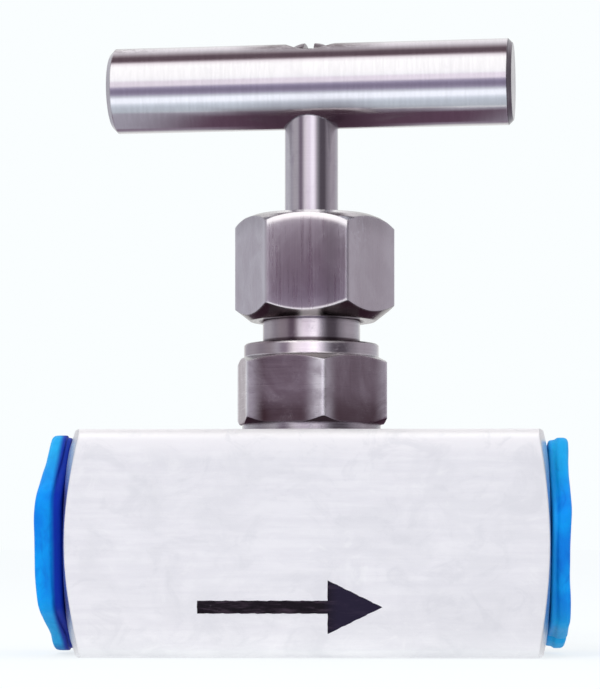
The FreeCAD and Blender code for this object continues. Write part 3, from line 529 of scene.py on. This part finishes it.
def plastic_material():
    m = Mat("blue_moulded_plastic")
    cloud = m.noise(m.scaled(m.p, 0.16, 0.16, 0.16), 1.0, 4, 0.5, 0.5)
    flow = m.noise(m.scaled(m.p, 0.5, 0.22, 0.22), 1.0, 4, 0.55, 1.4)
    fine = m.noise(m.p, 7.0, 3, 0.6)
    base = m.mix(m.smooth(cloud, 0.32, 0.70), (0.0010, 0.205, 0.73), (0.0010, 0.330, 0.86))
    base = m.mix(m.smooth(flow, 0.46, 0.78, 0.0, 0.65), base, (0.0008, 0.130, 0.58))
    base = m.mix(m.smooth(m.math("ABSOLUTE", m.math("SUBTRACT", m.z, AXIS_Z * 1000)), 7.0, 14.0, 0.0, 0.55), base, (0.012, 0.44, 0.74))
    base = m.mix(m.smooth(fine, 0.64, 0.86, 0.0, 0.2), base, (0.004, 0.42, 0.88))
    # painted highlight: the edges are lighter
    edge, soft = m.edge(0.30)
    base = m.mix(m.math("MULTIPLY", edge, 0.30), base, (0.001, 0.36, 0.94))
    # painted shade on the collar between rim and body, strongest on the left plug; the right plug also gets a painted
    # light band there
    right = m.smooth(m.x, -1, 1)
    off = m.math("SUBTRACT", m.math("ABSOLUTE", m.x), m.fmix(right, BODY_L * 1000, BODY_X * 1000))
    near = m.smooth(off, m.fmix(right, 1.25, 0.45), m.fmix(right, 2.15, 1.15), 1.0, 0.0)
    across = m.math("SUBTRACT", m.z, AXIS_Z * 1000)
    across = m.math("SQRT", m.math("ADD", m.math("MULTIPLY", m.y, m.y), m.math("MULTIPLY", across, across)))
    near = m.math("MULTIPLY", near, m.smooth(across, 12.8, 13.6))       # not the hollow centre
    base = m.mix(m.math("MULTIPLY", near, m.fmix(right, 0.95, 0.25)), base, (0.0006, 0.014, 0.34))
    base = m.mix(m.math("MULTIPLY", m.math("MULTIPLY", near, right), 0.75), base, (0.02, 0.42, 0.98))
    # painted shade in corners and gaps, on the left plug only
    painted_crevice_shade = m.crevice(2.0, 0.2, 0.8)
    base = m.mix(m.math("MULTIPLY", painted_crevice_shade, m.fmix(right, 0.55, 0.0)), base, (0.0004, 0.012, 0.25))
    nrm = m.bump(cloud, 0.10 * MM, 1.0, soft)
    nrm = m.bump(flow, 0.03 * MM, 1.0, nrm)
    nrm = m.bump(fine, 0.004 * MM, 1.0, nrm)
    m.set(base=base, rough=m.remap(flow, 0.3, 0.7, 0.36, 0.52), normal=nrm,
          sss=0.12, sss_scale=0.0008, sss_radius=(0.1, 0.4, 1.0), spec=0.10)
    return m.m


def ink_material():
    """Screen-printed ink with thin and worn places."""
    m = Mat("printed_ink")
    wear_and_sheen = m.noise(m.scaled(m.p, 0.45, 1.0, 2.6), 1.0, 6, 0.7, 0.6)
    fine = m.noise(m.p, 6.0, 3, 0.6)
    base = m.mix(m.smooth(fine, 0.35, 0.7), (0.0035, 0.0015, 0.004), (0.012, 0.008, 0.014))
    wipe = m.noise(m.scaled(m.p, 0.30, 1.0, 2.2, (1.3, 0, 0.4)), 1.0, 5, 0.6, 0.5)
    base = m.mix(m.smooth(wipe, 0.46, 0.72, 0.0, 0.75), base, (0.060, 0.040, 0.060))
    base = m.mix(m.smooth(m.x, 1.5, 4.5, 0.0, 0.8), base, (0.016, 0.012, 0.034))
    left = m.smooth(m.x, -16.0, -9.0, 0.09, 0.0)
    hole = m.smooth(m.math("ADD", m.math("ADD", wear_and_sheen, m.math("MULTIPLY", fine, 0.12)), left), 0.74, 0.84, 0.0, 0.7)
    base = m.mix(hole, base, (0.20, 0.19, 0.22))
    nrm = m.bump(fine, 0.006 * MM, 1.0)
    m.set(base=base, rough=m.remap(fine, 0.3, 0.7, 0.45, 0.65), normal=nrm, spec=0.12)
    return m.m


steel_turned = turned_z_material("turned_stem", (0.69, 0.67, 0.695), 0.11, 6.0, 0.0012, 0.008, 0.5,
                                 tint=(0.54, 0.50, 0.56)).m
give(NODES["valve_body"], body_material())
give(NODES["stem"], steel_turned)
give(NODES["bonnet"], hex_material("bonnet_steel", AXIS_Z * 1000 + 17.8, AXIS_Z * 1000 + 27.85,
                                   (0.325, 0.257, 0.295), (0.46, 0.395, 0.440), (0.80, 0.78, 0.80),
                                   "horizontal", 0.30, neck=True))
give(NODES["gland_nut"], hex_material("gland_nut_steel", AXIS_Z * 1000 + 33.3, AXIS_Z * 1000 + 48.8,
                                      (0.56, 0.520, 0.560), (0.66, 0.635, 0.67), (0.86, 0.84, 0.85),
                                      "vertical", 0.30))
give(NODES["handle_bar"], bar_material())
give(NODES["handle_screw"], plain_steel("screw_steel_worn", (0.36, 0.335, 0.35), 0.28))
inner = plain_steel("turned_inner_steel", (0.66, 0.65, 0.67), 0.20)
give(NODES["packing_washer"], inner)
give(NODES["gland_follower"], inner)
hard = plain_steel("ground_hard_steel", (0.56, 0.555, 0.57), 0.16)
give(NODES["needle_tip"], hard)
give(NODES["tip_retaining_ring"], hard)
give(NODES["thrust_ball"], plain_steel("polished_ball_steel", (0.78, 0.78, 0.80), 0.06))
give(NODES["bonnet_gasket"], soft_material("soft_copper", (0.80, 0.42, 0.27), (0.62, 0.30, 0.18), 0.30, 1.0))
ptfe = soft_material("white_packing", (0.86, 0.86, 0.83), (0.78, 0.78, 0.75), 0.42, 0.0, 0.006, 0.15)
for n in ("packing_bottom_adapter", "packing_ring_1", "packing_ring_2", "packing_ring_3",
          "packing_ring_4", "packing_top_adapter"):
    give(NODES[n], ptfe)


# ------------------------------------------------------------------ pieces
def mesh_object(name, bm, smooth=True):
    bmesh.ops.recalc_face_normals(bm, faces=bm.faces)
    me = bpy.data.meshes.new(name)
    bm.to_mesh(me)
    bm.free()
    for p in me.polygons:
        p.use_smooth = smooth
    o = bpy.data.objects.new(name, me)
    bpy.context.scene.collection.objects.link(o)
    return o


def ripple(a, seed):
    """Smooth repeatable waviness round a ring, about -1..1."""
    v = 0.0
    for k, (f, g) in enumerate(((2, 0.45), (3, 0.40), (5, 0.30), (7, 0.22), (11, 0.14))):
        v += g * math.sin(f * a + seed * (1.7 + 0.9 * k))
    return v / 1.2


def port_cap(name, node, body, side, seed, notch, corner, bow_up, bow_down):
    """Moulded plug: hollow spigot in the port mouth, collar against the body and a soft
    hexagonal head.  Local r, u (mm); u runs outwards from the end face."""
    lo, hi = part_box(node)
    half = (BODY_X if side > 0 else BODY_L) * 1000
    outer = (hi.x if side > 0 else -lo.x) * 1000 - half               # outer face
    inner = (lo.x if side > 0 else -hi.x) * 1000 - half               # end of the spigot
    gap = 0.22
    flange = 1.1 if side > 0 else 1.75                                # seat face of the rim
    r_out = 16.45
    prof = [  # r, u, share of rim outline, share of axial warp
        (9.9, inner, 0, 0), (10.35, inner + 0.15, 0, 0), (10.6, inner + 0.6, 0, 0),
        (10.6, -0.45, 0, 0), (10.3, -0.2, 0, 0), (10.3, gap, 0, 0),
        (13.2, gap, 0.3, 0), (15.75, gap + 0.03, 1, 0.1), (r_out - 0.38, gap + 0.28, 1, 0.2),
        (r_out - 0.36, flange - 0.22, 1, 0.6), (r_out - 0.30, flange - 0.02, 1, 0.8),
        (r_out - 0.06, flange + 0.14, 1, 1), (r_out, flange + 0.42, 1, 1),
        (r_out, (flange + outer) / 2 + 0.1, 1, 1), (r_out - 0.04, outer - 0.45, 1, 1),
        (r_out - 0.36, outer - 0.08, 1, 1), (r_out - 0.9, outer, 1, 1),
        (13.6, outer - 0.02, 0.5, 1), (13.0, outer - 0.15, 0.25, 0.9), (12.7, outer - 0.60, 0.15, 0.7),
        (12.2, outer - 0.85, 0.1, 0.5), (11.0, outer - 0.88, 0.05, 0.3), (9.8, outer - 0.82, 0, 0.2),
        (9.3, outer - 1.0, 0, 0.1), (9.12, outer - 1.5, 0, 0), (9.05, inner + 2.0, 0, 0),
        (8.7, inner + 1.45, 0, 0), (8.2, inner + 1.15, 0, 0)]
    n = 144
    bm = bmesh.new()
    rings = []
    for r, u, k_out, k_warp in prof:
        ring = []
        for i in range(n):
            a = 2 * math.pi * i / n
            # six soft flats with an uneven, hand-trimmed look; up is the angle from the
            # front (-Y) towards the top
            up = math.atan2(math.sin(a), -math.cos(a))
            local = (math.degrees(up) - corner + 30.0) % 60.0 - 30.0
            flat = 14.64 / math.cos(math.radians(30.0 - abs(local)))
            soft = -math.log(math.exp(-3.0 * flat) + math.exp(-3.0 * r_out)) / 3.0
            dr = soft - r_out + 0.13 * ripple(a, seed) - 0.04
            d = math.atan2(math.sin(a - notch), math.cos(a - notch))
            dr -= 0.85 * math.exp(-(d / 0.05) ** 2)
            rr = r + k_out * dr
            height = math.sin(a)
            bow = bow_up * max(0.0, height) ** 2 + bow_down * max(0.0, -height) ** 2
            uu = u + k_warp * (bow + 0.20 * ripple(a + 0.6, seed + 2.3) + 0.07 * ripple(2 * a, seed))
            uu = max(uu, gap) if u > 0.1 else uu
            ring.append(bm.verts.new((side * (half + uu) * MM,
                                      rr * math.cos(a) * MM,
                                      AXIS_Z + rr * math.sin(a) * MM)))
        rings.append(ring)
    for a, b in zip(rings, rings[1:]):
        for i in range(n):
            j = (i + 1) % n
            bm.faces.new((a[i], a[j], b[j], b[i]))
    for ring, u in ((rings[0], inner - 0.0), (rings[-1], inner + 1.05)):
        # inner rings close to a small centre fan, slightly domed by the moulding gate
        prev = ring
        for f in (0.72, 0.40, 0.12):
            nxt = [bm.verts.new((side * (half + u + (0.12 if f == 0.12 and ring is rings[-1] else 0)) * MM,
                                 v.co.y * f, AXIS_Z + (v.co.z - AXIS_Z) * f)) for v in ring]
            for i in range(n):
                j = (i + 1) % n
                bm.faces.new((prev[i], prev[j], nxt[j], nxt[i]))
            prev = nxt
        c = bm.verts.new((side * (half + u + (0.12 if ring is rings[-1] else 0)) * MM, 0, AXIS_Z))
        for i in range(n):
            bm.faces.new((prev[i], prev[(i + 1) % n], c))
    o = mesh_object(name, bm)
    sub = o.modifiers.new("subdivision", "SUBSURF")
    sub.levels = sub.render_levels = 1
    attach(o, body)
    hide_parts(node)
    give(o, PLASTIC)
    return o


PLASTIC = plastic_material()
port_cap("left_plug_moulding", "left_port_cap", "left_cap", -1, 1.3, math.radians(-67), 24.0, -0.85, -0.95)
port_cap("right_plug_moulding", "right_port_cap", "right_cap", 1, 4.1, math.radians(-97), 15.0, 0.42, 0.30)


def port_thread(name, side):
    """Closed helical rib of the parallel pipe thread, slightly sunk into the bore wall."""
    pitch, root, crest = 1.814, 10.52, 9.32
    x0, x1 = BODY_X * 1000 - 17.9, BODY_X * 1000 - 3.05
    seg = 72
    turns = (x1 - x0 - 1.7) / pitch
    count = int(turns * seg)
    prof = [(-0.86, root), (-0.40, crest + 0.42), (-0.16, crest + 0.05), (0.0, crest),
            (0.16, crest + 0.05), (0.40, crest + 0.42), (0.86, root)]
    bm = bmesh.new()
    rows = []
    for i in range(count + 1):
        a = 2 * math.pi * i / seg
        xc = x0 + 0.86 + pitch * i / seg
        fade = min(1.0, i / (0.4 * seg), (count - i) / (0.4 * seg))
        fade = max(0.04, fade)
        row = []
        for du, r in prof:
            rr = root - (root - r) * fade
            # right-hand thread seen from either end
            row.append(bm.verts.new((side * (xc + du * (0.4 + 0.6 * fade)) * MM, rr * math.cos(a * -side) * MM,
                                     AXIS_Z + rr * math.sin(a * -side) * MM)))
        rows.append(row)
    for a, b in zip(rows, rows[1:]):
        for k in range(len(prof)):
            j = (k + 1) % len(prof)
            bm.faces.new((a[k], a[j], b[j], b[k]))
    bm.faces.new(rows[0])
    bm.faces.new(list(reversed(rows[-1])))
    o = mesh_object(name, bm)
    for p in o.data.polygons:
        p.use_smooth = len(p.vertices) == 4
    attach(o, "valve")
    give(o, THREAD)
    return o


THREAD = plain_steel("cut_thread_steel", (0.66, 0.655, 0.675), 0.22)
port_thread("inlet_thread", -1)
port_thread("outlet_thread", 1)


def flow_arrow():
    """Printed arrow: a very thin plate with a slightly uneven outline on the front face."""
    z = AXIS_Z * 1000 - 9.15
    pts = []

    def run(a, b, n, rough, seed):
        for i in range(n):
            t = i / n
            x = a[0] + (b[0] - a[0]) * t
            y = a[1] + (b[1] - a[1]) * t
            d = math.hypot(b[0] - a[0], b[1] - a[1])
            nx, ny = (b[1] - a[1]) / d, -(b[0] - a[0]) / d
            w = rough * (math.sin(seed + 9.1 * t * n / 7) + 0.7 * math.sin(2.3 * seed + 23.7 * t * n / 9)) * math.sin(math.pi * t) ** 0.3
            pts.append((x + nx * w, y + ny * w))

    h, H = 0.92, 3.85
    corners = [(-16.0, -h), (2.75, -h), (2.75, -H), (10.6, 0.0), (2.75, H), (2.75, h), (-16.0, h)]
    for k, a in enumerate(corners):
        b = corners[(k + 1) % len(corners)]
        d = math.hypot(b[0] - a[0], b[1] - a[1])
        run(a, b, max(4, int(d / 0.45)), 0.035, 1.0 + 1.9 * k)
    bm = bmesh.new()
    back = [bm.verts.new((x * MM, -BODY_Y + 0.010 * MM, (z + y) * MM)) for x, y in pts]
    front = [bm.verts.new((x * MM, -BODY_Y - 0.030 * MM, (z + y) * MM)) for x, y in pts]
    n = len(pts)
    bm.faces.new(front)
    bm.faces.new(list(reversed(back)))
    for i in range(n):
        j = (i + 1) % n
        bm.faces.new((back[i], back[j], front[j], front[i]))
    bmesh.ops.triangulate(bm, faces=[f for f in bm.faces if len(f.verts) > 4])
    o = mesh_object("flow_arrow_print", bm, smooth=False)
    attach(o, "valve")
    give(o, ink_material())
    return o


flow_arrow()

# ------------------------------------------------------------------- stage
REFLECT = 0.70


def stops(table, scale=1.0):
    """(degrees, sRGB as reflected in the steel) to ramp stops of the tent behind the lens."""
    out = []
    for deg, c in table:
        if not isinstance(c, (tuple, list)):
            c = (c, c, c)
        out.append(((deg + 180.0) / 360.0, [v / REFLECT * scale / 2.0 for v in lin(c)]))
    return out


def world():
    w = bpy.data.worlds.new("light_tent")
    w.use_nodes = True
    bpy.context.scene.world = w
    g = Graph(w.node_tree)
    out = g.n("ShaderNodeOutputWorld")
    tc = g.n("ShaderNodeTexCoord")
    x, y, z = g.xyz(tc.outputs["Generated"])
    front = g.math("MULTIPLY", y, -1.0)
    deg = 180.0 / math.pi
    up = g.math("MULTIPLY", g.math("ARCTAN2", z, front), deg)       # round the X axis
    side = g.math("MULTIPLY", g.math("ARCTAN2", x, front), deg)     # round the Z axis
    el = g.math("MULTIPLY", g.math("ARCSINE", z), deg)
    rolls = stops([(-180, (112, 102, 114)), (-158, (116, 106, 118)), (-146, (122, 110, 124)), (-127, (122, 108, 123)),
                   (-117, (96, 76, 92)), (-102, (100, 80, 97)), (-92, (124, 106, 120)), (-84, (158, 156, 166)),
                   (-73, (170, 176, 184)), (-56, (182, 189, 199)), (-48, (205, 212, 222)), (-42, (240, 244, 253)),
                   (-32, (240, 244, 253)), (-26, (190, 192, 203)), (-20, (142, 135, 156)), (-13, (120, 112, 134)),
                   (-6, (128, 120, 144)), (-1, (158, 150, 172)), (5, (206, 203, 217)), (11, (236, 237, 241)),
                   (28, (247, 246, 247)), (60, (252, 251, 251)), (69, (235, 228, 232)), (76, (135, 120, 128)),
                   (80, (84, 68, 76)), (94, (90, 76, 84)), (100, (126, 114, 120)), (107, (160, 152, 158)),
                   (120, (208, 203, 208)), (142, (232, 228, 231)), (156, (212, 212, 218)), (180, (172, 172, 180))])
    ring = stops([(-180, 205), (-160, 205), (-147, (172, 172, 180)), (-116, (178, 178, 184)), (-94, (152, 149, 158)),
                  (-76, (164, 160, 166)), (-60, (160, 156, 164)), (-51, (116, 106, 119)), (-42, (110, 99, 113)),
                  (-35, (160, 153, 162)), (-28, (206, 199, 206)), (-18, (222, 214, 224)), (-6, (226, 217, 230)),
                  (1, (246, 240, 251)), (10, (248, 243, 252)), (17, (216, 208, 220)), (24, (160, 156, 162)),
                  (31, (122, 119, 127)), (40, (80, 74, 82)), (60, (78, 72, 80)), (69, (112, 106, 114)),
                  (77, (128, 122, 130)), (95, (152, 146, 154)), (116, (154, 148, 156)), (147, (172, 172, 178)),
                  (165, 205), (180, 205)])
    a = g.ramp(g.remap(up, -180, 180), rolls)
    b = g.ramp(g.remap(side, -180, 180), ring)
    far = g.smooth(g.math("ABSOLUTE", side), 26.0, 46.0)
    lower = g.fmix(far, 0.5, -38.0)
    lower2 = g.fmix(far, 3.5, -14.0)
    upper = g.fmix(far, 13.5, 22.0)
    upper2 = g.fmix(far, 19.0, 52.0)
    inside = g.math("MULTIPLY", g.smooth(el, lower, lower2), g.smooth(el, upper, upper2, 1.0, 0.0))
    tent = g.mix(inside, a, b)
    bg = g.n("ShaderNodeBackground")
    g.put(bg.inputs[0], tent)
    bg.inputs[1].default_value = 2.0
    seen = g.n("ShaderNodeBackground")
    g.put(seen.inputs[0], lin((250, 254, 255)))
    seen.inputs[1].default_value = 1.0
    # bead-blasted and plastic surfaces gather light from a plainer tent
    even = g.n("ShaderNodeBackground")
    g.put(even.inputs[0], (1.0, 1.0, 1.02))
    even.inputs[1].default_value = 1.0
    lp = g.n("ShaderNodeLightPath")
    m1 = g.n("ShaderNodeMixShader")
    g.put(m1.inputs[0], lp.outputs["Is Diffuse Ray"])
    g.put(m1.inputs[1], bg.outputs[0])
    g.put(m1.inputs[2], even.outputs[0])
    m2 = g.n("ShaderNodeMixShader")
    g.put(m2.inputs[0], lp.outputs["Is Camera Ray"])
    g.put(m2.inputs[1], m1.outputs[0])
    g.put(m2.inputs[2], seen.outputs[0])
    g.put(out.inputs[0], m2.outputs[0])


def floor():
    m = bpy.data.materials.new("pale_floor")
    m.use_nodes = True
    g = Graph(m.node_tree)
    out = g.n("ShaderNodeOutputMaterial")
    d = g.n("ShaderNodeBsdfDiffuse")
    g.put(d.inputs[0], (0.22, 0.225, 0.23))
    e = g.n("ShaderNodeEmission")
    g.put(e.inputs[0], lin((250, 254, 255)))
    e.inputs[1].default_value = 0.755
    add = g.n("ShaderNodeAddShader")
    g.put(add.inputs[0], d.outputs[0])
    g.put(add.inputs[1], e.outputs[0])
    g.put(out.inputs[0], add.outputs[0])
    bm = bmesh.new()
    s = 6.0
    vs = [bm.verts.new(p) for p in ((-s, -s, 0), (s, -s, 0), (s, s, 0), (-s, s, 0))]
    bm.faces.new(vs)
    me = bpy.data.meshes.new("floor")
    bm.to_mesh(me)
    bm.free()
    o = bpy.data.objects.new("floor", me)
    bpy.context.scene.collection.objects.link(o)
    o.location = (0, 0, -0.00006)
    me.materials.append(m)
    o.visible_glossy = False
    o.visible_diffuse = False
    return o


world()
floor()


def card(name, corners, paint):
    """A card seen only in reflections, and only from its printed side: a dark one paints shade into reflections, a
    light one is a reflector.
    """
    m = bpy.data.materials.new(name)
    m.use_nodes = True
    g = Graph(m.node_tree)
    out = g.n("ShaderNodeOutputMaterial")
    e = g.n("ShaderNodeEmission")
    colour, clear = paint(g)
    g.put(e.inputs[0], colour)
    t = g.n("ShaderNodeBsdfTransparent")
    geo = g.n("ShaderNodeNewGeometry")
    hide = g.math("MAXIMUM", geo.outputs["Backfacing"], clear) if clear is not None else geo.outputs["Backfacing"]
    mx = g.n("ShaderNodeMixShader")
    g.put(mx.inputs[0], hide)
    g.put(mx.inputs[1], e.outputs[0])
    g.put(mx.inputs[2], t.outputs[0])
    g.put(out.inputs[0], mx.outputs[0])
    bm = bmesh.new()
    bm.faces.new([bm.verts.new([v * MM for v in c]) for c in corners])
    me = bpy.data.meshes.new(name)
    bm.to_mesh(me)
    bm.free()
    o = bpy.data.objects.new(name, me)
    bpy.context.scene.collection.objects.link(o)
    me.materials.append(m)
    o.visible_camera = o.visible_diffuse = o.visible_transmission = False
    o.visible_shadow = o.visible_volume_scatter = False
    return o


def dark_top(g):
    tc = g.n("ShaderNodeTexCoord")
    x, y, z = g.xyz(tc.outputs["Object"])
    f = g.math("MAXIMUM", g.smooth(g.math("ABSOLUTE", x), 0.020, 0.040), g.smooth(y, -0.0170, -0.0040, 1.0, 0.0))
    return g.mix(f, tuple(v / REFLECT for v in lin((84, 62, 78))), tuple(v / REFLECT for v in lin((152, 149, 160)))), None


def dark_before_nut(g):
    geo = g.n("ShaderNodeNewGeometry")
    x, y, z = g.xyz(geo.outputs["Incoming"])
    clear = g.smooth(z, 0.10, 0.16)            # open to the bar above, which looks down on it
    return tuple(v / REFLECT for v in lin((96, 76, 94))), clear


def under_bar(g):
    tc = g.n("ShaderNodeTexCoord")
    x, y, z = g.xyz(tc.outputs["Object"])
    away = g.smooth(g.math("ABSOLUTE", x), 0.007, 0.022)
    ahead = g.smooth(y, -0.0140, -0.0020, 1.0, 0.0)
    return tuple(v / REFLECT for v in lin((78, 58, 72))), g.math("MAXIMUM", away, ahead)


def bounce(g):
    return (0.95, 0.965, 0.99), None


top = AXIS_Z * 2000
# painted shade: dark cards seen only in reflections, over the body, before the nut and over the nut
card("painted_shade_card_over_body", [(-44, -17, top + 0.35), (44, -17, top + 0.35), (44, 45, top + 0.35), (-44, 45, top + 0.35)], dark_top)
card("painted_shade_card_before_nut", [(-17, -40, top + 20.3), (7.5, -40, top + 20.3), (7.5, -40, top + 36.3), (-17, -40, top + 36.3)][::-1], dark_before_nut)
card("painted_shade_card_over_nut", [(-26, -21, top + 33.2), (26, -21, top + 33.2), (26, 34, top + 33.2), (-26, 34, top + 33.2)], under_bar)
card("bounce_under_edge", [(-46, -28, 0.02), (46, -28, 0.02), (46, -8, 0.02), (-46, -8, 0.02)], bounce)

# a soft key from above left, outside the picture
def soft_light(name, loc, target, size, power, colour=(1, 1, 1)):
    l = bpy.data.lights.new(name, "AREA")
    l.shape = "DISK"
    l.size = size
    l.energy = power
    l.color = colour
    o = bpy.data.objects.new(name, l)
    o.location = loc
    o.rotation_mode = "QUATERNION"
    o.rotation_quaternion = (Vector(target) - Vector(loc)).to_track_quat("-Z", "Y")
    o.visible_glossy = False
    bpy.context.scene.collection.objects.link(o)
    return o


soft_light("key", (-0.25, -0.45, 0.55), (0, 0, 0.03), 0.30, 1.6)

# ------------------------------------------------------------------ camera
cam_data = bpy.data.cameras.new("camera")
cam = bpy.data.objects.new("camera", cam_data)
bpy.context.scene.collection.objects.link(cam)
cam_data.sensor_width = 36.0
cam_data.lens = 130.6
cam_data.clip_start, cam_data.clip_end = 0.01, 50
az = math.radians(1.5)
dist = 0.375
cam.location = (dist * math.sin(az), -dist * math.cos(az), AXIS_Z)
cam.rotation_mode = "QUATERNION"
cam.rotation_quaternion = Vector((-math.sin(az), math.cos(az), 0)).to_track_quat("-Z", "Y")
bpy.context.scene.camera = cam


def lens_shift(path, amount, home):
    """Rising front, mapped from the distance between the camera and its own stand: the full
    amount at the stand, none from 20 mm away, so that other views stay centred.  The mapping
    is two keyed values, with no expression."""
    setattr(cam_data, path, amount)
    fc = cam_data.driver_add(path)
    for m in list(fc.modifiers):
        fc.modifiers.remove(m)
    fc.driver.type = "SUM"
    v = fc.driver.variables.new()
    v.name = "away"
    v.type = "LOC_DIFF"
    v.targets[0].id = cam
    v.targets[1].id = home
    for away, value in ((0.0, amount), (0.02, 0.0)):
        fc.keyframe_points.insert(away, value).interpolation = "CONSTANT"
    fc.extrapolation = "CONSTANT"
    fc.update()


home = bpy.data.objects.new("camera_stand", None)
bpy.context.scene.collection.objects.link(home)
home.location = cam.location
lens_shift("shift_x", -0.0167, home)
lens_shift("shift_y", 0.2887, home)

scene = bpy.context.scene
scene.view_settings.view_transform = "Standard"
scene.view_settings.look = "None"
scene.view_settings.exposure = 0.0
scene.view_settings.gamma = 1.0
scene.render.film_transparent = False
